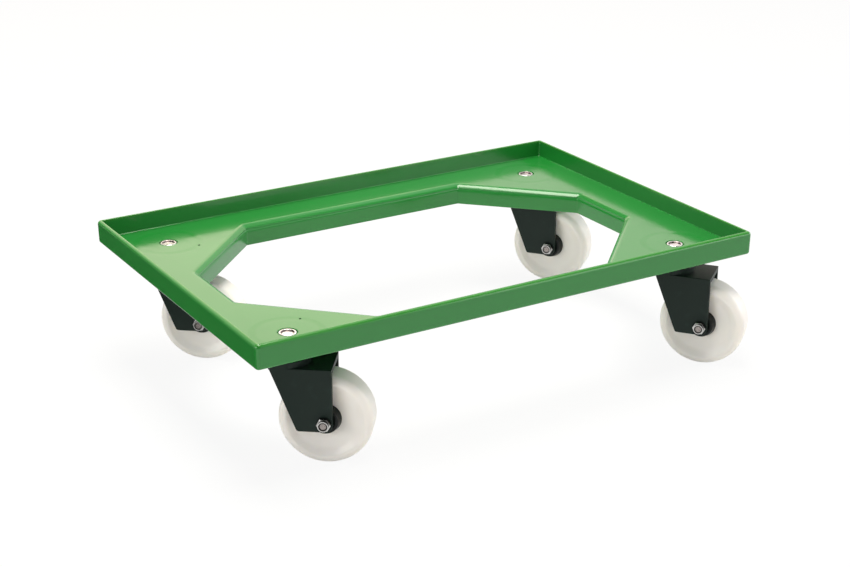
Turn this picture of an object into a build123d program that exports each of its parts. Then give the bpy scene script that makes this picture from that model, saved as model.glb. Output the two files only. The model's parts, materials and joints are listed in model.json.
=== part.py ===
from build123d import *
from math import radians, sqrt, tan
import os

# Driving dimensions in millimetres and degrees. Heights are above the floor.

# Frame: rim, deck and the eight-sided opening
FRAME_LENGTH = 620
FRAME_WIDTH = 420
RIM_TOP = 158.5
RIM_THICKNESS = 5
DECK_TOP = 137.7
DECK_THICKNESS = 4
WALL_BOTTOM = 131.5
WALL_DRAFT = 1
UNDERSIDE_LIP = 1
CORNER_RADIUS = 5
INNER_CORNER_RADIUS = 1.8
RIM_OUTER_ROUND = 4
RIM_INNER_ROUND = 0.9
WALL_BOTTOM_ROUND = 3
TRAY_FILLET = 1.2
OPENING_HALF_LENGTH = 254
OPENING_HALF_WIDTH = 155
OPENING_CORNER_CUT = 107.5
OPENING_CORNER_RADIUS = 3
SKIRT_BOTTOM = 113.2
SKIRT_THICKNESS = 4
SKIRT_ROUND = 1
SKIRT_FILLET = 2.5
BEND_RADIUS = 11
BEND_OVERHANG = 1.5
CREASE_STEP = 0.7
CREASE_SLOPE = 45
CREASE_HEIGHT = 132
BAND_SLOPE = 9
BAND_BOTTOM = 128.3

# Frame: castor bosses and stiffening ribs under the deck
PIVOT_X = 247
PIVOT_Y = 151
BOSS_RADIUS = 22
BOSS_BOTTOM = 116
RIB_THICKNESS = 3
RIB_BOTTOM = 119.5
WEB_PLACES_LONG_SIDE = (-90, 0, 90)
WEB_PLACES_SHORT_SIDE = (0,)

# Rivet that each castor swivels on, with its rolled top sunk in the deck, and the washer it holds
RIVET_RADIUS = 8
RIVET_HOLE_CLEARANCE = 0.2
RIVET_LIP_RADIUS = 9.3
RIVET_LIP_TOP = 137.6
RIVET_LIP_SHOULDER = 136.8
RIVET_CUP_RADIUS = 6.8
RIVET_CUP_FLOOR = 136.2
RIVET_HEAD_RADIUS = 10.2
RIVET_HEAD_HEIGHT = 1.3
SINK_RADIUS = 10.4
SINK_BOTTOM = 135.9
SINK_EDGE = 0.4
WASHER_RADIUS = 13
WASHER_BOTTOM = 98.7
WASHER_TOP = 100.7
LOOSE_CLEARANCE = 0.1

# Castor: fork, with its top plate and the swivel head, round behind and flush in front
TRAIL = 38.8
FORK_HALF_WIDTH = 24
CHEEK_THICKNESS = 5
PLATE_TOP = 108
PLATE_THICKNESS = 5
FORK_FRONT_TOP = -16.4
FORK_FRONT_BOTTOM = 10.6
FORK_REAR = 47.5
FORK_BOTTOM = 39
FORK_FRONT_ROUND = 3.5
FORK_REAR_ROUND = 8
FORK_EDGE_ROUND = 0.8
FRONT_WEB_THICKNESS = 4
FRONT_WEB_BOTTOM = 84.5
RIVET_ROOM_RADIUS = 15.5
RIVET_ROOM_BOTTOM = 95.5
HEAD_TOP = 115
HEAD_BLOCK_BOTTOM = 106.4
HEAD_ROUND = 1.5
RECESS_RADIUS = 20
RECESS_BOTTOM = 107.5
BUSH_SEAT_RADIUS = 10

# Castor: ball bearing and bush of the swivel
BALL_RADIUS = 3
BALL_COUNT = 14
BALL_PITCH_RADIUS = 14.5
BALL_HEIGHT = 112
TRACK_CLEARANCE = 0.1
LOWER_RACE_TOP = 110.5
LOWER_RACE_BORE_RADIUS = 10.5
UPPER_RACE_BOTTOM = 113.5
UPPER_RACE_RADIUS = 19.6
BUSH_TOP = 110
BUSH_FLANGE_RADIUS = 14
BUSH_FLANGE_BOTTOM = 101
RUNNING_CLEARANCE = 0.05

# Castor: wheel and axle, with distances along the axle from the middle of the wheel
WHEEL_RADIUS = 49
WHEEL_HALF_WIDTH = 16.5
SHOULDER_RADIUS = 8
HUB_RADIUS = 17
HUB_HALF_WIDTH = 9.6
DISH_RADIUS = 33
DISH_HALF_WIDTH = 13
SLEEVE_RADIUS = 6
BOLT_RADIUS = 4
BOLT_HOLE_RADIUS = 4.2
BOLT_END = 30.8
BOLT_END_CHAMFER = 0.7
HEXAGON_ACROSS_FLATS = 13
BOLT_HEAD_HEIGHT = 5.3
NUT_HEIGHT = 7.6
NUT_COLLAR_HEIGHT = 2.9
NUT_COLLAR_RADIUS = 5.65
INSERT_RADIUS = 4.6
INSERT_HEIGHT = 2
GUARD_RADIUS = 16.4
GUARD_RADIUS_AT_CHEEK = 13.5
GUARD_GAP = 0.3

# Which way each castor trails, measured from the long axis
CASTOR_ANGLES = {
    "front_left": -37.2,
    "front_right": -51.6,
    "rear_left": -38.7,
    "rear_right": -51.2,
}

CHEEK_INSIDE = FORK_HALF_WIDTH - CHEEK_THICKNESS
PLATE_BOTTOM = PLATE_TOP - PLATE_THICKNESS
DECK_BOTTOM = DECK_TOP - DECK_THICKNESS
LEVEL_TOLERANCE = 0.01


def pivot(corner):
    """Place of the swivel axis at a named corner."""
    x = PIVOT_X if corner.endswith("right") else -PIVOT_X
    y = PIVOT_Y if corner.startswith("rear") else -PIVOT_Y
    return x, y


def lifted(sketch, height):
    """Sketch moved up to a height above the floor."""
    return Plane.XY.offset(height) * sketch


def prism(sketch, bottom, top):
    """Upright solid between two heights."""
    return extrude(lifted(sketch, bottom), top - bottom)


def turned(*edges):
    """Solid turned about Z from a closed outline of edges in (radius, height)."""
    return revolve(Plane.XZ * make_face(edges), Axis.Z)


def turned_polygon(*points):
    """Solid turned about Z from the corners of its section in (radius, height)."""
    return turned(Polyline(*points, close=True))


def ring(inner_radius, outer_radius, bottom, top):
    """Upright tube or flat ring."""
    return prism(Circle(outer_radius) - Circle(inner_radius), bottom, top)


def on_axle(shape):
    """Shape built about Z, laid on the axle with its +Z end on the nut side."""
    return Location((TRAIL, 0, WHEEL_RADIUS), (90, 0, 0)) * shape


# Frame

def opening_outline(grow):
    """Eight-sided outline of the opening, moved outwards by a distance."""
    x = OPENING_HALF_LENGTH + grow
    y = OPENING_HALF_WIDTH + grow
    cut = OPENING_CORNER_CUT + (2 - sqrt(2)) * grow
    corners = [(x, cut - y), (x, y - cut), (x - cut, y), (cut - x, y)]
    corners += [(-a, -b) for a, b in corners]
    outline = Polygon(*corners)
    return fillet(outline.vertices(), OPENING_CORNER_RADIUS + grow)


def rim_outline(inset):
    """Rounded rectangle a distance inside the frame's top edge."""
    length = FRAME_LENGTH - 2 * inset
    width = FRAME_WIDTH - 2 * inset
    return RectangleRounded(length, width, max(CORNER_RADIUS - inset, INNER_CORNER_RADIUS))


def sunk(sketch, depth):
    """Solid from the rim top down, narrowing by the moulding draft."""
    rim_plane = Plane((0, 0, RIM_TOP), x_dir=(1, 0, 0), z_dir=(0, 0, -1))
    return extrude(rim_plane * sketch, depth, taper=WALL_DRAFT)


def upright_rib(*corners):
    """Thin upright plate along X from the corners of its side in (distance, height)."""
    return extrude(Plane.XZ * Polygon(*corners, align=None), RIB_THICKNESS / 2, both=True)


def boss_rib(length, end_bottom):
    """Rib along +X from a boss axis, whose bottom edge may rise to its far end."""
    return upright_rib(
        (0, DECK_BOTTOM),
        (0, RIB_BOTTOM),
        (BOSS_RADIUS, RIB_BOTTOM),
        (length, end_bottom),
        (length, DECK_BOTTOM),
    )


def ledge_web(skirt_distance, wall_distance):
    """Three-cornered web under the deck, along +X from the skirt to the wall."""
    return upright_rib(
        (skirt_distance, DECK_BOTTOM),
        (skirt_distance, RIB_BOTTOM),
        (wall_distance, WALL_BOTTOM),
        (wall_distance, DECK_BOTTOM),
    )


def deck_and_skirt():
    """Rim, deck and skirt, with the moulded rounds."""
    body = sunk(rim_outline(0), RIM_TOP - WALL_BOTTOM)
    body -= sunk(rim_outline(RIM_THICKNESS), RIM_TOP - DECK_TOP)
    body -= prism(rim_outline(RIM_THICKNESS + UNDERSIDE_LIP), WALL_BOTTOM, DECK_BOTTOM)
    body += prism(opening_outline(SKIRT_THICKNESS), SKIRT_BOTTOM, DECK_BOTTOM)
    body -= prism(opening_outline(-BEND_OVERHANG), SKIRT_BOTTOM, DECK_TOP)

    def flat_at(height):
        low, high = height - LEVEL_TOLERANCE, height + LEVEL_TOLERANCE
        level = body.faces().filter_by(Axis.Z).filter_by_position(Axis.Z, low, high)
        return level.sort_by(SortBy.AREA)[-1]

    body = fillet(flat_at(DECK_TOP).inner_wires()[0].edges(), BEND_RADIUS)
    band_rise = CREASE_HEIGHT - BAND_BOTTOM
    band_set = band_rise * tan(radians(BAND_SLOPE))
    body -= prism(opening_outline(0), SKIRT_BOTTOM, BAND_BOTTOM)
    body -= extrude(lifted(opening_outline(0), BAND_BOTTOM), band_rise, taper=-BAND_SLOPE)
    body -= extrude(lifted(opening_outline(band_set), CREASE_HEIGHT), CREASE_STEP, taper=-CREASE_SLOPE)
    body -= prism(opening_outline(band_set + CREASE_STEP), CREASE_HEIGHT + CREASE_STEP, DECK_TOP)
    body = fillet(flat_at(DECK_TOP).outer_wire().edges(), TRAY_FILLET)
    body = fillet(flat_at(DECK_BOTTOM).inner_wires()[0].edges(), SKIRT_FILLET)
    body = fillet(flat_at(SKIRT_BOTTOM).edges(), SKIRT_ROUND)
    body = fillet(flat_at(WALL_BOTTOM).outer_wire().edges(), WALL_BOTTOM_ROUND)
    body = fillet(flat_at(RIM_TOP).outer_wire().edges(), RIM_OUTER_ROUND)
    return fillet(flat_at(RIM_TOP).inner_wires()[0].edges(), RIM_INNER_ROUND)


def on_every_corner(shape):
    """Shape at the rear right corner and its mirror images at the other three."""
    pair = shape + mirror(shape, Plane.YZ)
    return pair + mirror(pair, Plane.XZ)


def frame():
    wall_x = FRAME_LENGTH / 2 - RIM_THICKNESS
    wall_y = FRAME_WIDTH / 2 - RIM_THICKNESS
    skirt_x = OPENING_HALF_LENGTH + SKIRT_THICKNESS / 2
    skirt_y = OPENING_HALF_WIDTH + SKIRT_THICKNESS / 2
    skirt_diagonal = (OPENING_HALF_LENGTH + OPENING_HALF_WIDTH - OPENING_CORNER_CUT) / sqrt(2)
    pivot_diagonal = (PIVOT_X + PIVOT_Y) / sqrt(2)

    boss = prism(Circle(BOSS_RADIUS), BOSS_BOTTOM, DECK_BOTTOM)
    boss += boss_rib(wall_x - PIVOT_X, WALL_BOTTOM)
    boss += Rot(0, 0, 90) * boss_rib(wall_y - PIVOT_Y, WALL_BOTTOM)
    boss += Rot(0, 0, 225) * boss_rib(pivot_diagonal - skirt_diagonal - SKIRT_THICKNESS / 2, RIB_BOTTOM)
    hole_radius = RIVET_RADIUS + RIVET_HOLE_CLEARANCE
    rivet_hole = turned_polygon(
        (0, BOSS_BOTTOM),
        (hole_radius, BOSS_BOTTOM),
        (hole_radius, SINK_BOTTOM),
        (SINK_RADIUS, SINK_BOTTOM),
        (SINK_RADIUS, DECK_TOP - SINK_EDGE),
        (SINK_RADIUS + SINK_EDGE, DECK_TOP),
        (0, DECK_TOP),
    )

    body = deck_and_skirt()
    for turn in (0, 180):
        for place in WEB_PLACES_SHORT_SIDE:
            body += Rot(0, 0, turn) * Pos(0, place, 0) * ledge_web(skirt_x, wall_x)
        for place in WEB_PLACES_LONG_SIDE:
            body += Rot(0, 0, turn + 90) * Pos(0, place, 0) * ledge_web(skirt_y, wall_y)
    body += on_every_corner(Pos(PIVOT_X, PIVOT_Y, 0) * boss)
    return body - on_every_corner(Pos(PIVOT_X, PIVOT_Y, 0) * rivet_hole)


# Swivel

def swivel_rivet():
    outer_shoulder = (RIVET_LIP_RADIUS, RIVET_LIP_SHOULDER)
    inner_shoulder = (RIVET_CUP_RADIUS, RIVET_LIP_SHOULDER)
    crest = ((RIVET_LIP_RADIUS + RIVET_CUP_RADIUS) / 2, RIVET_LIP_TOP)
    head_bottom = WASHER_BOTTOM - RIVET_HEAD_HEIGHT
    return turned(
        ThreePointArc(outer_shoulder, crest, inner_shoulder),
        Polyline(
            inner_shoulder,
            (RIVET_CUP_RADIUS, RIVET_CUP_FLOOR),
            (0, RIVET_CUP_FLOOR),
            (0, head_bottom),
            (RIVET_HEAD_RADIUS - RIVET_HEAD_HEIGHT, head_bottom),
            (RIVET_HEAD_RADIUS, WASHER_BOTTOM),
            (RIVET_RADIUS, WASHER_BOTTOM),
            (RIVET_RADIUS, SINK_BOTTOM),
            (RIVET_LIP_RADIUS, SINK_BOTTOM),
            outer_shoulder,
        ),
    )


def retaining_washer():
    return ring(RIVET_RADIUS + LOOSE_CLEARANCE, WASHER_RADIUS, WASHER_BOTTOM, WASHER_TOP)


def ball_track():
    """Ring-shaped groove that the balls run in."""
    return Pos(0, 0, BALL_HEIGHT) * Torus(BALL_PITCH_RADIUS, BALL_RADIUS + TRACK_CLEARANCE)


def upper_race():
    blank = ring(RIVET_RADIUS + LOOSE_CLEARANCE, UPPER_RACE_RADIUS, UPPER_RACE_BOTTOM, BOSS_BOTTOM)
    return blank - ball_track()


def lower_race():
    blank = ring(LOWER_RACE_BORE_RADIUS, RECESS_RADIUS - LOOSE_CLEARANCE, RECESS_BOTTOM, LOWER_RACE_TOP)
    return blank - ball_track()


def ball_ring():
    places = PolarLocations(BALL_PITCH_RADIUS, BALL_COUNT)
    return Compound(children=[Pos(0, 0, BALL_HEIGHT) * place * Sphere(BALL_RADIUS) for place in places])


def swivel_bush():
    bore = RIVET_RADIUS + RUNNING_CLEARANCE
    tube = ring(bore, BUSH_SEAT_RADIUS - RUNNING_CLEARANCE, BUSH_FLANGE_BOTTOM, BUSH_TOP)
    return tube + ring(bore, BUSH_FLANGE_RADIUS, BUSH_FLANGE_BOTTOM, PLATE_BOTTOM)


def fork():
    slope = (FORK_FRONT_BOTTOM - FORK_FRONT_TOP) / (PLATE_TOP - FORK_BOTTOM)
    web_depth = FRONT_WEB_THICKNESS * sqrt(1 + slope**2)

    def web_back(height):
        return FORK_FRONT_TOP + slope * (PLATE_TOP - height) + web_depth, height

    outline = Polygon(
        (FORK_FRONT_TOP, PLATE_TOP),
        (FORK_FRONT_BOTTOM, FORK_BOTTOM),
        (FORK_REAR, FORK_BOTTOM),
        (FORK_REAR, PLATE_TOP),
        align=None,
    )
    low_corners = outline.vertices().sort_by(Axis.Y)[:2].sort_by(Axis.X)
    outline = fillet(low_corners[0], FORK_FRONT_ROUND)
    outline = fillet(outline.vertices().sort_by(Axis.X)[-2:].sort_by(Axis.Y)[0], FORK_REAR_ROUND)
    wheel_space = Polygon(
        web_back(PLATE_BOTTOM),
        web_back(FRONT_WEB_BOTTOM),
        (FORK_FRONT_TOP, FRONT_WEB_BOTTOM),
        (FORK_FRONT_TOP, 0),
        (2 * FORK_REAR, 0),
        (2 * FORK_REAR, PLATE_BOTTOM),
        align=None,
    )
    body = extrude(Plane.XZ * outline, FORK_HALF_WIDTH, both=True)
    outer_edges = body.faces().filter_by(Axis.Y).edges()
    body = fillet(outer_edges, FORK_EDGE_ROUND)
    body -= extrude(Plane.XZ * wheel_space, CHEEK_INSIDE, both=True)
    body -= prism(Circle(RIVET_ROOM_RADIUS), RIVET_ROOM_BOTTOM, PLATE_BOTTOM)
    front_block = Pos(FORK_FRONT_TOP / 2, 0) * Rectangle(-FORK_FRONT_TOP, 2 * FORK_HALF_WIDTH)
    head = prism(Circle(FORK_HALF_WIDTH) + front_block, HEAD_BLOCK_BOTTOM, HEAD_TOP)
    body += fillet(head.faces().sort_by(Axis.Z)[-1].edges(), HEAD_ROUND)
    body -= prism(Circle(RECESS_RADIUS), RECESS_BOTTOM, HEAD_TOP)
    body -= prism(Circle(BUSH_SEAT_RADIUS), PLATE_BOTTOM, HEAD_TOP)
    bolt_hole = prism(Circle(BOLT_HOLE_RADIUS), -FORK_HALF_WIDTH, FORK_HALF_WIDTH)
    return body - on_axle(bolt_hole)


# Wheel and axle

def wheel():
    bore = SLEEVE_RADIUS + RUNNING_CLEARANCE
    lip = WHEEL_RADIUS - SHOULDER_RADIUS
    tread = WHEEL_HALF_WIDTH - SHOULDER_RADIUS
    half = turned(
        Polyline(
            (WHEEL_RADIUS, tread),
            (WHEEL_RADIUS, 0),
            (bore, 0),
            (bore, HUB_HALF_WIDTH),
            (HUB_RADIUS, HUB_HALF_WIDTH),
            (DISH_RADIUS, DISH_HALF_WIDTH),
            (lip, WHEEL_HALF_WIDTH),
        ),
        RadiusArc((lip, WHEEL_HALF_WIDTH), (WHEEL_RADIUS, tread), SHOULDER_RADIUS),
    )
    return on_axle(half + mirror(half, Plane.XY))


def axle_sleeve():
    return on_axle(ring(BOLT_RADIUS + LOOSE_CLEARANCE, SLEEVE_RADIUS, -CHEEK_INSIDE, CHEEK_INSIDE))


def thread_guard(side):
    """Tapered disc beside the wheel. Side is 1 next to the nut and -1 next to the bolt head."""
    bore = SLEEVE_RADIUS + RUNNING_CLEARANCE
    start = HUB_HALF_WIDTH + GUARD_GAP
    disc = turned_polygon(
        (bore, start),
        (GUARD_RADIUS, start),
        (GUARD_RADIUS_AT_CHEEK, CHEEK_INSIDE),
        (bore, CHEEK_INSIDE),
    )
    return on_axle(disc if side > 0 else Rot(180, 0, 0) * disc)


def hexagon_blank(height):
    """Hexagonal prism on the floor plane, with its top corners turned off."""
    flats = HEXAGON_ACROSS_FLATS / 2
    corners = flats * 2 / sqrt(3)
    turned_off = (corners - flats) * sqrt(3) / 2
    blank = extrude(RegularPolygon(flats, 6, major_radius=False), height)
    side_height = height - turned_off
    envelope = turned_polygon((0, 0), (corners, 0), (corners, side_height), (flats, height), (0, height))
    return blank & envelope


def axle_bolt():
    shank = prism(Circle(BOLT_RADIUS), -FORK_HALF_WIDTH, BOLT_END)
    shank = chamfer(shank.faces().sort_by(Axis.Z)[-1].edges(), BOLT_END_CHAMFER)
    head = Rot(180, 0, 0) * hexagon_blank(BOLT_HEAD_HEIGHT)
    return on_axle(shank + Pos(0, 0, -FORK_HALF_WIDTH) * head)


def lock_nut():
    flats_height = NUT_HEIGHT - NUT_COLLAR_HEIGHT
    body = hexagon_blank(flats_height) + prism(Circle(NUT_COLLAR_RADIUS), flats_height, NUT_HEIGHT)
    body -= prism(Circle(BOLT_RADIUS + LOOSE_CLEARANCE), 0, NUT_HEIGHT)
    body -= prism(Circle(INSERT_RADIUS + LOOSE_CLEARANCE), flats_height, NUT_HEIGHT)
    return on_axle(Pos(0, 0, FORK_HALF_WIDTH) * body)


def nut_insert():
    bottom = FORK_HALF_WIDTH + NUT_HEIGHT - NUT_COLLAR_HEIGHT
    return on_axle(ring(BOLT_RADIUS + LOOSE_CLEARANCE, INSERT_RADIUS, bottom, bottom + INSERT_HEIGHT))


castor = {
    "swivel_rivet": swivel_rivet(),
    "retaining_washer": retaining_washer(),
    "upper_race": upper_race(),
    "lower_race": lower_race(),
    "ball_ring": ball_ring(),
    "swivel_bush": swivel_bush(),
    "fork": fork(),
    "wheel": wheel(),
    "axle_sleeve": axle_sleeve(),
    "thread_guard_nut_side": thread_guard(1),
    "thread_guard_head_side": thread_guard(-1),
    "axle_bolt": axle_bolt(),
    "lock_nut": lock_nut(),
    "nut_insert": nut_insert(),
}

os.makedirs("parts", exist_ok=True)
export_step(frame(), "parts/frame.step")
for corner, angle in CASTOR_ANGLES.items():
    place = Location((*pivot(corner), 0), (0, 0, angle))
    for name, piece in castor.items():
        export_step(place * piece, f"parts/{name}_{corner}.step")
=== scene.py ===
"""Crate dolly: fine pieces, finishes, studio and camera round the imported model, in metres."""

import json
from math import cos, pi, radians, sin

import bmesh
import bpy
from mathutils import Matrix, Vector


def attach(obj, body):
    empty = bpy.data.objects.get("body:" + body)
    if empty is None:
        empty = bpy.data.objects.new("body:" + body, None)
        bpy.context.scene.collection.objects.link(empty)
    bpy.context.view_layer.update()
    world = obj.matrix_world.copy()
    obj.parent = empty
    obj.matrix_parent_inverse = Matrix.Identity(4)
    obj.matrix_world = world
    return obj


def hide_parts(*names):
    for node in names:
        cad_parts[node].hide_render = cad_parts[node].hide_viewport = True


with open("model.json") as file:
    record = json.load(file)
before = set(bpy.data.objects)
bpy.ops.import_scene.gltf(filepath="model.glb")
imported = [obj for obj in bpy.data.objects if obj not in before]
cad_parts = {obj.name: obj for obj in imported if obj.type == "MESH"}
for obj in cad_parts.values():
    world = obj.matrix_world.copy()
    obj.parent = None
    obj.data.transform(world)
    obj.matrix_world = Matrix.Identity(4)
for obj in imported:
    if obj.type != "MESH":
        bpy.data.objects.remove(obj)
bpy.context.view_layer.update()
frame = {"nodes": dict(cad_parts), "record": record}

# Castors: their swivel axes, and which way each one trails
PIVOT_X = 0.247
PIVOT_Y = 0.151
TRAIL = 0.0388
AXLE_HEIGHT = 0.049
CASTOR_ANGLES = {
    "front_left": -37.2,
    "front_right": -51.6,
    "rear_left": -38.7,
    "rear_right": -51.2,
}

# Wheel, with heights along its axle from the middle
WHEEL_RADIUS = 0.049
WHEEL_HALF_WIDTH = 0.0165
SHOULDER_ROUND = 0.0076
LIP_RADIUS = 0.0404
LIP_ROUND = 0.006
DISH_RADIUS = 0.033
DISH_HALF_WIDTH = 0.013
DISH_ROUND = 0.022
HUB_RADIUS = 0.017
HUB_HALF_WIDTH = 0.0096
HUB_ROUND = 0.0012
BORE_RADIUS = 0.00605
BORE_ROUND = 0.0004

# Thread guard, between the wheel's hub and the fork's cheek
GUARD_START = 0.0099
GUARD_END = 0.019
GUARD_RADIUS = 0.0164
GUARD_RADIUS_AT_CHEEK = 0.0135
GUARD_RIM_ROUND = 0.0005
GUARD_END_ROUND = 0.0008

# Swivel rivet, with heights above the floor
RIVET_RADIUS = 0.008
RIVET_LIP_RADIUS = 0.0093
RIVET_LIP_TOP = 0.1376
RIVET_LIP_BOTTOM = 0.1359
RIVET_LIP_ROUND = 0.00078
RIVET_CUP_RADIUS = 0.0068
RIVET_CUP_FLOOR = 0.1362
RIVET_CUP_MIDDLE = 0.1359
RIVET_CUP_ROUND = 0.0005
# radii where the painted shade on the cup's wall fades in, and where it fades out
RIVET_WALL_STARTS = (0.0053, 0.0060)
RIVET_WALL_ENDS = (0.0071, 0.0074)
RIVET_HEAD_RADIUS = 0.0102
RIVET_HEAD_TOP = 0.0987
RIVET_HEAD_BOTTOM = 0.0974
RIVET_HEAD_CHAMFER = 0.0013

# Gate marks that the moulding leaves on the left gussets
GATES = {"front_left": (-0.2206, -0.1270, 0), "rear_left": (-0.2205, 0.1245, 0)}
DECK_TOP = 0.1377
GATE_RADIUS = 0.0013
GATE_PIT_RADIUS = 0.0007
GATE_HEIGHT = 0.0003
GATE_FOOT = 0.0004
GATE_ROUND = 0.0001

# Rim, whose rounded top gets a painted highlight in a lighter green, and the sunken ring round each
# rivet
RIM_TOP = 0.1585
RIM_ROUND = 0.004
SINK_RING = 0.036
SINK_RING_HALF_WIDTH = 0.007

# Fineness of the turned pieces and of the merged skins, and the mask that drops heights
TURNED_SEGMENTS = 128
SMALL_TURNED_SEGMENTS = 64
ROUND_STEPS = 10
SMALL_ROUND_STEPS = 5
SPIN_RADIUS = 0.001
MERGE_DISTANCE = 0.000001
SHARP_ANGLE = 0.6
IN_PLAN = (1, 1, 0)

# Finishes: base colours, tones of a base colour, and ranges of noise and roughness
GREEN = (0.010, 0.190, 0.024, 1)
LIGHT_GREEN = (0.012, 0.210, 0.028, 1)
# painted highlight: lighter green for the rim's rounded top
PAINTED_HIGHLIGHT_RIM_GREEN = (0.036, 0.23, 0.028, 1)
GATE_GREEN = (0.006, 0.045, 0.009)
FORK_BLACK = (0.008, 0.018, 0.014)
GUARD_BLACK = (0.006, 0.009, 0.008)
IVORY = (0.88, 0.845, 0.810, 1)
LIGHT_IVORY = (0.91, 0.880, 0.845, 1)
RIVET_STEEL = (0.70, 0.70, 0.71, 1)
LIGHT_RIVET_STEEL = (0.80, 0.80, 0.81, 1)
# painted shade for the wall of the rivet's cup
RIVET_CUP_PAINTED_SHADE = (0.26, 0.20, 0.20, 1)
ZINC = (0.66, 0.67, 0.68)
RACE_STEEL = (0.60, 0.60, 0.61)
BUSH_IVORY = (0.60, 0.58, 0.50)
INSERT_BROWN = (0.05, 0.045, 0.04)
FASTENER_COLOURS = {"lock_nut": (0.68, 0.67, 0.65), "axle_bolt": (0.38, 0.34, 0.32)}
SCUFF_TONE = 1.9
STAIN_TONE = 0.82
CLOUD_TONE = 0.85
# painted shade: share of the colour left on a fastener's sides
PAINTED_SHADE_TONE = 0.1
PLASTIC_IOR = 1.5
NOISE_LOW = 0.3
NOISE_HIGH = 0.7
ROUGHNESS_SPAN = 0.1

# Camera at the photograph's viewing angle
CAMERA_PLACE = (-0.93028, -1.55080, 0.80718)
CAMERA_TILT = 68.305
CAMERA_TURN = -31.089
CAMERA_LENS = 71.42
SENSOR_WIDTH = 36

# Studio
FLOOR_SIZE = 14
FLOOR_COLOUR = (0.86, 0.86, 0.85, 1)
FLOOR_BOUNCE_COLOUR = (0.86, 0.85, 0.82, 1)
FLOOR_GLOW = 0.90
WORLD_FILL = 0.33
WHITE = (1, 1, 1, 1)
SOFTBOXES = {
    "top_light": {
        "place": (0.05, 0.25, 2.2),
        "aim": (0.05, 0.15, 0.1),
        "width": 1.0,
        "height": 1.7,
        "power": 62,
        "colour": (1.0, 0.97, 0.89),
    },
    "back_light": {
        "place": (0.5, 2.25, 1.15),
        "aim": (0, 0, 0.13),
        "width": 1.8,
        "height": 1.1,
        "power": 7.0,
        "colour": (1.0, 0.77, 0.47),
    },
    "side_light": {
        "place": (2.0, 1.9, 1.15),
        "aim": (0, 0, 0.13),
        "width": 1.8,
        "height": 1.1,
        "power": 1.8,
        "colour": (1.0, 0.45, 0.20),
    },
    "left_light": {
        "place": (-4.75, -0.75, 1.45),
        "aim": (0, 0, 0.08),
        "width": 2.8,
        "height": 1.9,
        "power": 68,
    },
    "front_light": {
        "place": (2.0, -2.4, 1.1),
        "aim": (0, 0, 0.1),
        "width": 1.3,
        "height": 0.8,
        "power": 9,
    },
    "rim_light": {
        "place": (1.75, -1.95, 2.0),
        "aim": (0, 0, 0.1),
        "width": 0.8,
        "height": 0.5,
        "power": 4,
    },
    "right_light": {
        "place": (2.6, -0.4, 0.6),
        "aim": (0, 0, 0.06),
        "width": 1.2,
        "height": 0.8,
        "power": 16,
    },
}
FLAG_COLOUR = (0.02, 0.02, 0.02, 1)
FLAGS = {
    "studio_flag_floor": ((-1.1, -0.25, 0.001), (-0.33, 1.3, 0.001)),
    "studio_flag_floor_front": ((-4.0, -3.2, 0.001), (-0.9, -0.6, 0.001)),
    "studio_flag_front": ((-6.0, -3.2, 0.05), (1.0, -3.2, 3.0)),
    "studio_flag_back": ((-4.0, 2.6, 0.05), (-0.5, 2.6, 1.0)),
    "studio_flag_top": ((-3.5, -3.5, 2.75), (1.2, 3.5, 2.75)),
    "studio_flag_top_right": ((1.2, -3.5, 2.75), (3.5, 0.0, 2.75)),
}


# Node trees

class Nodes:
    """Fills a node tree."""

    def __init__(self, tree):
        self.tree = tree

    def fill(self, node, sockets):
        """Sets a node's sockets to values, or links other sockets to them."""
        for socket, value in sockets.items():
            if isinstance(value, bpy.types.NodeSocket):
                self.tree.links.new(value, node.inputs[socket])
            else:
                node.inputs[socket].default_value = value

    def node(self, kind, sockets=None, **settings):
        """New node with its sockets filled and its settings made."""
        made = self.tree.nodes.new(kind)
        for name, value in settings.items():
            setattr(made, name, value)
        self.fill(made, sockets or {})
        return made

    def math(self, operation, *values):
        """Result of a sum on numbers."""
        return self.node("ShaderNodeMath", dict(enumerate(values)), operation=operation).outputs[0]

    def vector_math(self, operation, *values):
        """Node for a sum on vectors, whose result is a vector or a number."""
        return self.node("ShaderNodeVectorMath", dict(enumerate(values)), operation=operation)

    def mixed(self, share, first, second):
        """Colour between two colours."""
        node = self.node("ShaderNodeMix", {0: share, 6: first, 7: second}, data_type="RGBA")
        return node.outputs[2]


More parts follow.
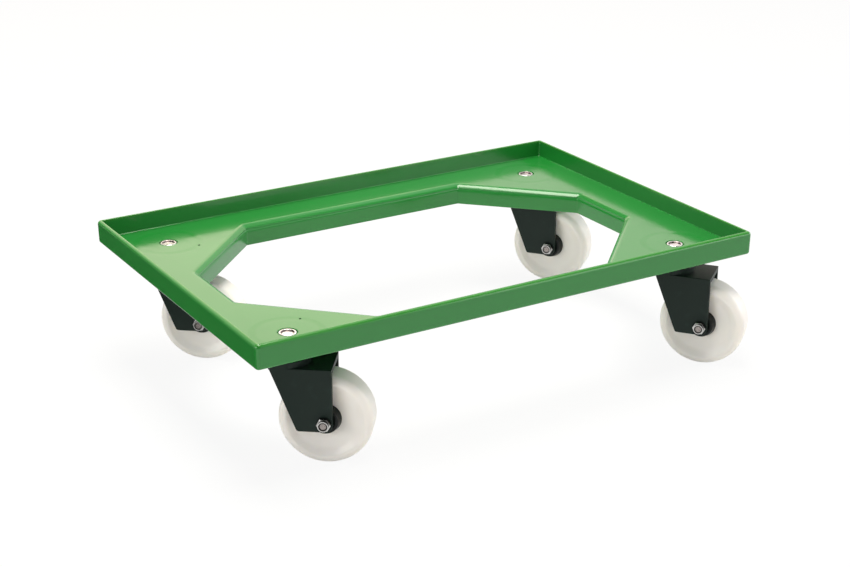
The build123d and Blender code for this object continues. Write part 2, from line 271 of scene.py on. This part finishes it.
class Finish(Nodes):
    """A node material that ends in one Principled shader."""

    def __init__(self, name, sockets):
        self.material = bpy.data.materials.new(name)
        self.material.use_nodes = True
        super().__init__(self.material.node_tree)
        self.shader = self.tree.nodes["Principled BSDF"]
        self.fill(self.shader, sockets)
        coordinates = self.node("ShaderNodeTexCoord").outputs
        self.place = coordinates["Object"]
        self.normal = coordinates["Normal"]

    def noise(self, size, detail):
        """Cloudy value from 0 to 1, with features of about a size."""
        sockets = {"Vector": self.place, "Scale": 1 / size, "Detail": detail}
        return self.node("ShaderNodeTexNoise", sockets).outputs["Fac"]

    def turned_radius(self):
        """Distance of a turned piece's skin from the piece's own axis."""
        return self.node("ShaderNodeAttribute", attribute_name="turned_radius").outputs["Fac"]

    def rings(self, size, detail):
        """Value from 0 to 1 that is the same all round a turned piece."""
        sockets = {"W": self.turned_radius(), "Scale": 1 / size, "Detail": detail}
        return self.node("ShaderNodeTexNoise", sockets, noise_dimensions="1D").outputs["Fac"]

    def spread(self, value, low, high, to_low=0.0, to_high=1.0):
        """Value eased from one range to another, and held at the ends."""
        sockets = {
            "Value": value,
            "From Min": low,
            "From Max": high,
            "To Min": to_low,
            "To Max": to_high,
        }
        node = self.node("ShaderNodeMapRange", sockets, interpolation_type="SMOOTHSTEP")
        return node.outputs["Result"]

    def uneven(self, noise, low, high):
        """Roughness between two values, by a noise."""
        return self.spread(noise, NOISE_LOW, NOISE_HIGH, low, high)

    def bump(self, height, depth, below=None):
        """Normal of a surface raised by a height of 0 to 1 times a depth."""
        sockets = {"Height": height, "Distance": depth, "Strength": 1.0}
        if below:
            sockets["Normal"] = below
        return self.node("ShaderNodeBump", sockets).outputs["Normal"]

    def corner_distance(self, x, y):
        """Distance in plan from the nearest of the four mirrored points at x and y."""
        folded = self.vector_math("ABSOLUTE", self.place).outputs[0]
        flat = self.vector_math("MULTIPLY", folded, IN_PLAN).outputs[0]
        away = self.vector_math("SUBTRACT", flat, (x, y, 0)).outputs[0]
        return self.vector_math("LENGTH", away).outputs["Value"]

    def finished(self, **links):
        """Links the finish's colour, roughness, coat and normal, and gives back the material."""
        names = {
            "colour": "Base Color",
            "roughness": "Roughness",
            "coat": "Coat Weight",
            "normal": "Normal",
        }
        self.fill(self.shader, {names[name]: value for name, value in links.items()})
        return self.material


class Shape(Nodes):
    """A Geometry Nodes tree with named inputs, which turns an outline into a finished mesh."""

    def __init__(self, name, **inputs):
        super().__init__(bpy.data.node_groups.new(name, "GeometryNodeTree"))
        self.identifiers = {}
        self.socket("Outline", "NodeSocketGeometry", "INPUT")
        for label, kind in inputs.items():
            self.socket(label, kind, "INPUT")
        self.socket("Mesh", "NodeSocketGeometry", "OUTPUT")
        self.given = self.node("NodeGroupInput").outputs

    def socket(self, label, kind, side):
        """Adds an input or output to the tree, and keeps its identifier."""
        made = self.tree.interface.new_socket(label, in_out=side, socket_type=kind)
        self.identifiers[label] = made.identifier

    def step(self, kind, geometry, sockets=None, **settings):
        """Node that works on a geometry socket, which is its first input and output."""
        return self.node(kind, {0: geometry, **(sockets or {})}, **settings).outputs[0]

    def turned(self):
        """Outline of radius along X and height along Z, spun round Z with its corners rounded."""
        corner = self.node("GeometryNodeInputPosition").outputs[0]
        at = self.node("ShaderNodeSeparateXYZ", {0: corner}).outputs
        across = self.math("SUBTRACT", at["X"], SPIN_RADIUS)
        along = self.math("MULTIPLY", at["Z"], -1.0)
        flat = self.node("ShaderNodeCombineXYZ", {"X": across, "Y": along}).outputs[0]
        stored = self.node("GeometryNodeInputNamedAttribute", {"Name": "round"}, data_type="FLOAT")
        rounding = stored.outputs[0]
        outline = self.step("GeometryNodeSetPosition", self.given["Outline"], {"Position": flat})
        outline = self.step("GeometryNodeMeshToCurve", outline)
        outline = self.step(
            "GeometryNodeFilletCurve",
            outline,
            {"Count": self.given["Round Steps"], "Radius": rounding, "Limit Radius": True},
            mode="POLY",
        )
        ring = {"Resolution": self.given["Segments"], "Radius": SPIN_RADIUS}
        circle = self.node("GeometryNodeCurvePrimitiveCircle", ring).outputs[0]
        circle = self.step("GeometryNodeSetCurveNormal", circle, mode="Z_UP")
        mesh = self.step("GeometryNodeCurveToMesh", circle, {"Profile Curve": outline})
        mesh = self.step("GeometryNodeMergeByDistance", mesh, {"Distance": MERGE_DISTANCE})
        position = self.node("GeometryNodeInputPosition").outputs[0]
        level = self.vector_math("MULTIPLY", position, IN_PLAN).outputs[0]
        radius = self.vector_math("LENGTH", level).outputs["Value"]
        kept = {"Name": "turned_radius", "Value": radius}
        return self.step("GeometryNodeStoreNamedAttribute", mesh, kept)

    def ended(self, mesh):
        """Ends the tree in real faces that are smooth."""
        mesh = self.step("GeometryNodeRealizeInstances", mesh)
        mesh = self.step("GeometryNodeSetShadeSmooth", mesh)
        self.node("NodeGroupOutput", {"Mesh": mesh})

    def piece(self, name, outline, material, **values):
        """Plain mesh object made by the tree from an outline, with the named inputs set."""
        source = linked(name + "_outline", outline)
        modifier = source.modifiers.new("shape", "NODES")
        modifier.node_group = self.tree
        for label, value in values.items():
            modifier[self.identifiers[label.replace("_", " ").title()]] = value
        evaluated = source.evaluated_get(bpy.context.evaluated_depsgraph_get())
        mesh = bpy.data.meshes.new_from_object(evaluated)
        mesh.name = name
        mesh.materials.clear()
        mesh.materials.append(material)
        source.modifiers.remove(modifier)
        bpy.data.objects.remove(source)
        return linked(name, mesh)


def linked(name, data):
    """Object in the scene that shows some data."""
    made = bpy.data.objects.new(name, data)
    bpy.context.scene.collection.objects.link(made)
    return made


def turned_at_place():
    """Tree for one turned piece, turned and moved to its place."""
    shape = Shape(
        "turned_at_place",
        **{
            "Segments": "NodeSocketInt",
            "Round Steps": "NodeSocketInt",
            "Place": "NodeSocketVector",
            "Turn": "NodeSocketVector",
        },
    )
    spun = shape.turned()
    turn = shape.node("FunctionNodeEulerToRotation", {0: shape.given["Turn"]}).outputs[0]
    move = {"Translation": shape.given["Place"], "Rotation": turn}
    shape.ended(shape.step("GeometryNodeTransform", spun, move))
    return shape


def turned_at_corners():
    """Tree for a turned piece that stands at the same place in all four corners of the frame."""
    shape = Shape(
        "turned_at_corners",
        **{
            "Segments": "NodeSocketInt",
            "Round Steps": "NodeSocketInt",
            "Length Apart": "NodeSocketFloat",
            "Width Apart": "NodeSocketFloat",
        },
    )
    corners = shape.node(
        "GeometryNodeMeshGrid",
        {
            "Size X": shape.given["Length Apart"],
            "Size Y": shape.given["Width Apart"],
            "Vertices X": 2,
            "Vertices Y": 2,
        },
    ).outputs["Mesh"]
    shape.ended(shape.step("GeometryNodeInstanceOnPoints", corners, {"Instance": shape.turned()}))
    return shape


# Finishes

def toned(colour, share):
    """Colour with its light multiplied by a share, for a socket."""
    return (*(share * value for value in colour), 1)


def moulded_green():
    """Glossy green moulding, with a painted highlight that makes its rim lighter, and clearer where
    it sank over the castor bosses.
    """
    sockets = {"IOR": PLASTIC_IOR, "Specular IOR Level": 0.5, "Coat Roughness": 0.42}
    finish = Finish("moulded_green", sockets)
    flow = finish.mixed(finish.noise(size=0.09, detail=2.0), GREEN, LIGHT_GREEN)
    height = finish.node("ShaderNodeSeparateXYZ", {0: finish.place}).outputs["Z"]
    # painted highlight: the top band of the rim is mixed towards a lighter green
    colour = finish.mixed(finish.spread(height, RIM_TOP - RIM_ROUND, RIM_TOP), flow, PAINTED_HIGHLIGHT_RIM_GREEN)
    roughness = finish.uneven(finish.noise(size=0.02, detail=4.0), low=0.11, high=0.18)
    off_ring = finish.math("SUBTRACT", finish.corner_distance(PIVOT_X, PIVOT_Y), SINK_RING)
    sink = finish.spread(finish.math("ABSOLUTE", off_ring), low=0.0, high=SINK_RING_HALF_WIDTH)
    coat = finish.spread(sink, low=0.0, high=1.0, to_low=0.13, to_high=0.3)
    waves = finish.bump(finish.noise(size=0.03, detail=1.0), depth=0.00006)
    hollow = finish.bump(sink, depth=0.00006, below=waves)
    skin = finish.bump(finish.noise(size=0.003, detail=2.0), depth=0.000004, below=hollow)
    return finish.finished(colour=colour, roughness=roughness, coat=coat, normal=skin)


def satin_black(name, colour, least_rough):
    """Black moulding with a fine eroded texture."""
    finish = Finish(name, {"IOR": PLASTIC_IOR, "Specular IOR Level": 0.22})
    grain = finish.noise(size=0.0007, detail=3.0)
    scuff = finish.spread(finish.noise(size=0.012, detail=5.0), low=0.55, high=0.8, to_high=0.5)
    tint = finish.mixed(scuff, toned(colour, 1.0), toned(colour, SCUFF_TONE))
    roughness = finish.uneven(grain, least_rough, least_rough + ROUGHNESS_SPAN)
    return finish.finished(colour=tint, roughness=roughness, normal=finish.bump(grain, depth=0.00002))


def turned_ivory():
    """Ivory-white wheel plastic, slightly see-through at its edges, with faint rings from turning."""
    finish = Finish(
        "turned_ivory",
        {
            "IOR": PLASTIC_IOR,
            "Specular IOR Level": 0.8,
            "Subsurface Weight": 0.2,
            "Subsurface Radius": (0.006, 0.005, 0.0035),
            "Subsurface Scale": 1.0,
        },
    )
    colour = finish.mixed(finish.noise(size=0.02, detail=4.0), IVORY, LIGHT_IVORY)
    roughness = finish.uneven(finish.noise(size=0.004, detail=4.0), low=0.34, high=0.46)
    grain = finish.bump(finish.noise(size=0.0012, detail=3.0), depth=0.00001)
    rings = finish.bump(finish.rings(size=0.0012, detail=2.0), depth=0.00001, below=grain)
    return finish.finished(colour=colour, roughness=roughness, normal=rings)


def plated_steel(name, colour, least_rough):
    """Bright steel with a fine, uneven polish."""
    finish = Finish(name, {"Metallic": 1.0})
    stain = finish.noise(size=0.004, detail=4.0)
    tint = finish.mixed(stain, toned(colour, STAIN_TONE), toned(colour, 1.0))
    polish = finish.noise(size=0.0015, detail=3.0)
    roughness = finish.uneven(polish, least_rough, least_rough + ROUGHNESS_SPAN)
    grain = finish.bump(finish.noise(size=0.0005, detail=2.0), depth=0.000003)
    return finish.finished(colour=tint, roughness=roughness, normal=grain)


def rolled_rivet():
    """Bright rolled steel, with painted shade on the wall of the cup."""
    finish = Finish("rolled_rivet", {"Metallic": 1.0})
    radius = finish.turned_radius()
    inside = finish.spread(radius, *RIVET_WALL_STARTS)
    outside = finish.spread(radius, *RIVET_WALL_ENDS, to_low=1.0, to_high=0.0)
    stain = finish.mixed(finish.noise(size=0.004, detail=4.0), RIVET_STEEL, LIGHT_RIVET_STEEL)
    # painted shade: the cup's wall between these radii is tinted dark
    tint = finish.mixed(finish.math("MULTIPLY", inside, outside), stain, RIVET_CUP_PAINTED_SHADE)
    roughness = finish.uneven(finish.noise(size=0.0015, detail=3.0), low=0.18, high=0.26)
    return finish.finished(colour=tint, roughness=roughness)


def fastener_steel(name, colour, angle):
    """Zinc plate on a castor's nut or bolt, with a painted highlight on its ends and painted shade on
    its sides.
    """
    finish = Finish(name, {"Metallic": 1.0})
    axle = (sin(radians(angle)), -cos(radians(angle)), 0)
    along = finish.vector_math("DOT_PRODUCT", finish.normal, axle).outputs["Value"]
    # painted light: faces along the axle are painted bright, faces across it are painted dark
    painted_light_share = finish.spread(finish.math("ABSOLUTE", along), low=0.2, high=0.8)
    stain = finish.spread(finish.noise(size=0.0012, detail=4.0), low=0.2, high=0.8, to_low=0.6)
    share = finish.math("MULTIPLY", painted_light_share, stain)
    tint = finish.mixed(share, toned(colour, PAINTED_SHADE_TONE), toned(colour, 1.0))
    roughness = finish.uneven(finish.noise(size=0.0015, detail=3.0), low=0.25, high=0.4)
    grain = finish.bump(finish.noise(size=0.0005, detail=2.0), depth=0.000006)
    return finish.finished(colour=tint, roughness=roughness, normal=grain)


def natural_plastic(name, colour):
    """Unpainted bearing plastic."""
    finish = Finish(name, {"IOR": PLASTIC_IOR})
    cloud = finish.noise(size=0.006, detail=3.0)
    tint = finish.mixed(cloud, toned(colour, CLOUD_TONE), toned(colour, 1.0))
    roughness = finish.uneven(cloud, low=0.4, high=0.55)
    grain = finish.bump(finish.noise(size=0.001, detail=2.0), depth=0.00001)
    return finish.finished(colour=tint, roughness=roughness, normal=grain)


FINISHES = {
    "frame_green": moulded_green(),
    "fork_black": satin_black("satin_fork", FORK_BLACK, least_rough=0.42),
    "guard_black": satin_black("satin_guard", GUARD_BLACK, least_rough=0.28),
    "wheel_white": turned_ivory(),
    "rivet_steel": rolled_rivet(),
    "zinc_steel": plated_steel("zinc_plate", ZINC, least_rough=0.26),
    "bearing_steel": plated_steel("polished_race", RACE_STEEL, least_rough=0.12),
    "bush_plastic": natural_plastic("natural_bush", BUSH_IVORY),
    "insert_nylon": natural_plastic("dark_insert", INSERT_BROWN),
}

for subpart in frame["record"]["subparts"]:
    mesh = frame["nodes"][subpart["node"]].data
    mesh.materials.clear()
    mesh.materials.append(FINISHES[subpart["material_slot"]])

for corner, angle in CASTOR_ANGLES.items():
    for fastener, colour in FASTENER_COLOURS.items():
        mesh = frame["nodes"][f"{fastener}_{corner}"].data
        mesh.materials[0] = fastener_steel(f"plated_{fastener}_{corner}", colour, angle)


# Fine pieces

def outline(name, corners, closed=True):
    """Edges of a turned piece's section, from corners of (radius, height, rounding)."""
    count = len(corners)
    edges = [(index, (index + 1) % count) for index in range(count if closed else count - 1)]
    mesh = bpy.data.meshes.new(name)
    mesh.from_pydata([(radius, 0, height) for radius, height, _ in corners], edges, [])
    rounding = mesh.attributes.new("round", "FLOAT", "POINT")
    rounding.data.foreach_set("value", [corner[2] for corner in corners])
    return mesh


def fitted(piece, body, slot, *nodes):
    """Evens a piece's shading, and fits it on its body in place of CAD nodes."""
    normals = piece.modifiers.new("even_shading", "WEIGHTED_NORMAL")
    normals.keep_sharp = True
    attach(piece, body)
    if nodes:
        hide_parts(*nodes)


def merged_copy(node, name):
    """Copy of a CAD node's mesh as one closed skin, sharp only at its hard edges."""
    mesh = frame["nodes"][node].data.copy()
    mesh.name = name
    skin = bmesh.new()
    skin.from_mesh(mesh)
    bmesh.ops.remove_doubles(skin, verts=skin.verts, dist=MERGE_DISTANCE)
    for face in skin.faces:
        face.smooth = True
    for edge in skin.edges:
        edge.smooth = edge.calc_face_angle(pi) < SHARP_ANGLE
    skin.to_mesh(mesh)
    skin.free()
    own_normals = mesh.attributes.get("custom_normal")
    if own_normals:
        mesh.attributes.remove(own_normals)
    return linked(name, mesh)


def wheel_corners():
    """Corners of the wheel's section."""
    side = [
        (BORE_RADIUS, HUB_HALF_WIDTH, BORE_ROUND),
        (HUB_RADIUS, HUB_HALF_WIDTH, HUB_ROUND),
        (DISH_RADIUS, DISH_HALF_WIDTH, DISH_ROUND),
        (LIP_RADIUS, WHEEL_HALF_WIDTH, LIP_ROUND),
        (WHEEL_RADIUS, WHEEL_HALF_WIDTH, SHOULDER_ROUND),
    ]
    return side + [(radius, -height, rounding) for radius, height, rounding in reversed(side)]


def guard_corners(side):
    """Corners of a thread guard's section, on the side of the nut at 1 or of the bolt head at -1."""
    return [
        (BORE_RADIUS, side * GUARD_END, 0),
        (GUARD_RADIUS_AT_CHEEK, side * GUARD_END, GUARD_END_ROUND),
        (GUARD_RADIUS, side * GUARD_START, GUARD_RIM_ROUND),
        (BORE_RADIUS, side * GUARD_START, 0),
    ][::side]


def rivet_corners():
    """Corners of the rivet's section, from the middle of its cup to the middle of its head."""
    return [
        (0, RIVET_CUP_MIDDLE, 0),
        (RIVET_CUP_RADIUS, RIVET_CUP_FLOOR, RIVET_CUP_ROUND),
        (RIVET_CUP_RADIUS, RIVET_LIP_TOP, RIVET_LIP_ROUND),
        (RIVET_LIP_RADIUS, RIVET_LIP_TOP, RIVET_LIP_ROUND),
        (RIVET_LIP_RADIUS, RIVET_LIP_BOTTOM, 0),
        (RIVET_RADIUS, RIVET_LIP_BOTTOM, 0),
        (RIVET_RADIUS, RIVET_HEAD_TOP, 0),
        (RIVET_HEAD_RADIUS, RIVET_HEAD_TOP, 0),
        (RIVET_HEAD_RADIUS - RIVET_HEAD_CHAMFER, RIVET_HEAD_BOTTOM, 0),
        (0, RIVET_HEAD_BOTTOM, 0),
    ]


def gate_corners():
    """Corners of a gate mark's section: a low ring round a pit, with its foot in the deck."""
    top = DECK_TOP + GATE_HEIGHT
    return [
        (0, DECK_TOP, 0),
        (GATE_PIT_RADIUS, DECK_TOP, GATE_ROUND),
        (GATE_PIT_RADIUS, top, GATE_ROUND),
        (GATE_RADIUS, top, GATE_ROUND),
        (GATE_RADIUS, DECK_TOP - GATE_FOOT, 0),
        (0, DECK_TOP - GATE_FOOT, 0),
    ]


def make_castor_pieces(tree):
    """Wheel, thread guards and fork of every castor, with the turned ones made by a tree."""
    wheel_outline = outline("wheel_outline", wheel_corners())
    guard_outlines = {
        "nut_side": outline("guard_outline_nut_side", guard_corners(1)),
        "head_side": outline("guard_outline_head_side", guard_corners(-1)),
    }
    for corner, angle in CASTOR_ANGLES.items():
        turn = radians(angle)
        x = PIVOT_X if corner.endswith("right") else -PIVOT_X
        y = PIVOT_Y if corner.startswith("rear") else -PIVOT_Y
        laid = {
            "segments": TURNED_SEGMENTS,
            "round_steps": ROUND_STEPS,
            "place": (x + TRAIL * cos(turn), y + TRAIL * sin(turn), AXLE_HEIGHT),
            "turn": (pi / 2, 0, turn),
        }
        wheel = tree.piece(f"turned_wheel_{corner}", wheel_outline, FINISHES["wheel_white"], **laid)
        fitted(wheel, f"wheel_{corner}", "wheel_white", f"wheel_{corner}")
        for side, section in guard_outlines.items():
            guard = tree.piece(f"guard_{side}_{corner}", section, FINISHES["guard_black"], **laid)
            fitted(guard, f"castor_{corner}", "guard_black", f"thread_guard_{side}_{corner}")
        fork = merged_copy(f"fork_{corner}", f"fork_skin_{corner}")
        fitted(fork, f"castor_{corner}", "fork_black", f"fork_{corner}")


def make_frame_pieces(tree):
    """Frame skin, with its rivets and with gate marks made by a tree."""
    skin = merged_copy("frame", "frame_skin")
    fitted(skin, "frame", "frame_green", "frame")
    fine = {"segments": SMALL_TURNED_SEGMENTS, "round_steps": SMALL_ROUND_STEPS}
    rivets = turned_at_corners().piece(
        "swivel_rivets",
        outline("rivet_outline", rivet_corners(), closed=False),
        FINISHES["rivet_steel"],
        length_apart=2 * PIVOT_X,
        width_apart=2 * PIVOT_Y,
        **fine,
    )
    fitted(rivets, "frame", "rivet_steel", *(f"swivel_rivet_{corner}" for corner in CASTOR_ANGLES))
    # the gate marks are coloured a dark green all over, far darker than the deck
    scar = satin_black("gate_scar", GATE_GREEN, least_rough=0.3)
    section = outline("gate_outline", gate_corners(), closed=False)
    for corner, place in GATES.items():
        gate = tree.piece(f"gate_mark_{corner}", section, scar, place=place, turn=(0, 0, 0), **fine)
        fitted(gate, "frame", "frame_green")


placed_tree = turned_at_place()
make_frame_pieces(placed_tree)
make_castor_pieces(placed_tree)


# Studio

def seen_white(nodes):
    """1 for the rays that show the background: straight, by reflection and through clear things."""
    path = nodes.node("ShaderNodeLightPath").outputs
    straight_or_mirrored = nodes.math("MAXIMUM", path["Is Camera Ray"], path["Is Glossy Ray"])
    return nodes.math("MAXIMUM", straight_or_mirrored, path["Is Transmission Ray"])


def floor_finish():
    """Pale floor that shows almost white and keeps a faint shadow."""
    material = bpy.data.materials.new("studio_floor")
    material.use_nodes = True
    nodes = Nodes(material.node_tree)
    nodes.tree.nodes.clear()
    seen = seen_white(nodes)
    colour = nodes.mixed(seen, FLOOR_BOUNCE_COLOUR, FLOOR_COLOUR)
    paint = nodes.node("ShaderNodeBsdfDiffuse", {"Color": colour}).outputs[0]
    glow = nodes.node("ShaderNodeEmission", {"Color": WHITE, "Strength": 1.0}).outputs[0]
    share = nodes.math("MULTIPLY", seen, FLOOR_GLOW)
    mix = nodes.node("ShaderNodeMixShader", {0: share, 1: paint, 2: glow}).outputs[0]
    nodes.node("ShaderNodeOutputMaterial", {"Surface": mix})
    return material


def flag_finish():
    """Dull black cloth of the studio's flags."""
    sockets = {"Base Color": FLAG_COLOUR, "Roughness": 1.0, "Specular IOR Level": 0.0}
    return Finish("studio_flag", sockets).material


def stage_sheet(name, low, high, material):
    """Flat sheet of the studio between two corners, level or along X and upright."""
    mesh = bpy.data.meshes.new(name)
    level = low[2] == high[2]
    second = (high[0], low[1], high[2] if level else low[2])
    fourth = (low[0], high[1], high[2])
    mesh.from_pydata([low, second, high, fourth], [], [(0, 1, 2, 3)])
    mesh.materials.append(material)
    sheet = linked(name, mesh)
    return sheet


def studio_floor():
    """Pale floor under the dolly."""
    half = FLOOR_SIZE / 2
    stage_sheet("studio_floor", (-half, -half, 0), (half, half, 0), floor_finish())


def studio_flags():
    """Black flags round the dolly, which only its reflections show."""
    cloth = flag_finish()
    for name, (low, high) in FLAGS.items():
        flag = stage_sheet(name, low, high, cloth)
        flag.visible_camera = False
        flag.visible_diffuse = False
        flag.visible_transmission = False
        flag.visible_shadow = False


def studio_world(fill):
    """White surroundings that light the dolly with a level fill."""
    world = bpy.data.worlds.new("studio")
    world.use_nodes = True
    bpy.context.scene.world = world
    nodes = Nodes(world.node_tree)
    sockets = {"Value": seen_white(nodes), "To Min": fill, "To Max": 1.0}
    level = nodes.node("ShaderNodeMapRange", sockets).outputs[0]
    nodes.fill(world.node_tree.nodes["Background"], {"Color": WHITE, "Strength": level})


def softbox(name, place, aim, width, height, power, colour=(1, 1, 1)):
    """Rectangular soft light at a place, facing a point."""
    light = bpy.data.lights.new(name, "AREA")
    light.shape = "RECTANGLE"
    light.size = width
    light.size_y = height
    light.energy = power
    light.color = colour
    lamp = linked(name, light)
    lamp.location = place
    lamp.rotation_euler = (Vector(aim) - Vector(place)).to_track_quat("-Z", "Y").to_euler()
    lamp.visible_camera = False


def camera():
    """Camera that frames the dolly as the photograph does."""
    data = bpy.data.cameras.new("camera")
    data.lens = CAMERA_LENS
    data.sensor_width = SENSOR_WIDTH
    data.sensor_fit = "HORIZONTAL"
    made = linked("camera", data)
    made.location = CAMERA_PLACE
    made.rotation_euler = (radians(CAMERA_TILT), 0, radians(CAMERA_TURN))
    bpy.context.scene.camera = made


studio_floor()
studio_flags()
studio_world(WORLD_FILL)
for name, values in SOFTBOXES.items():
    softbox(name, **values)
camera()
bpy.context.scene.view_settings.view_transform = "Standard"
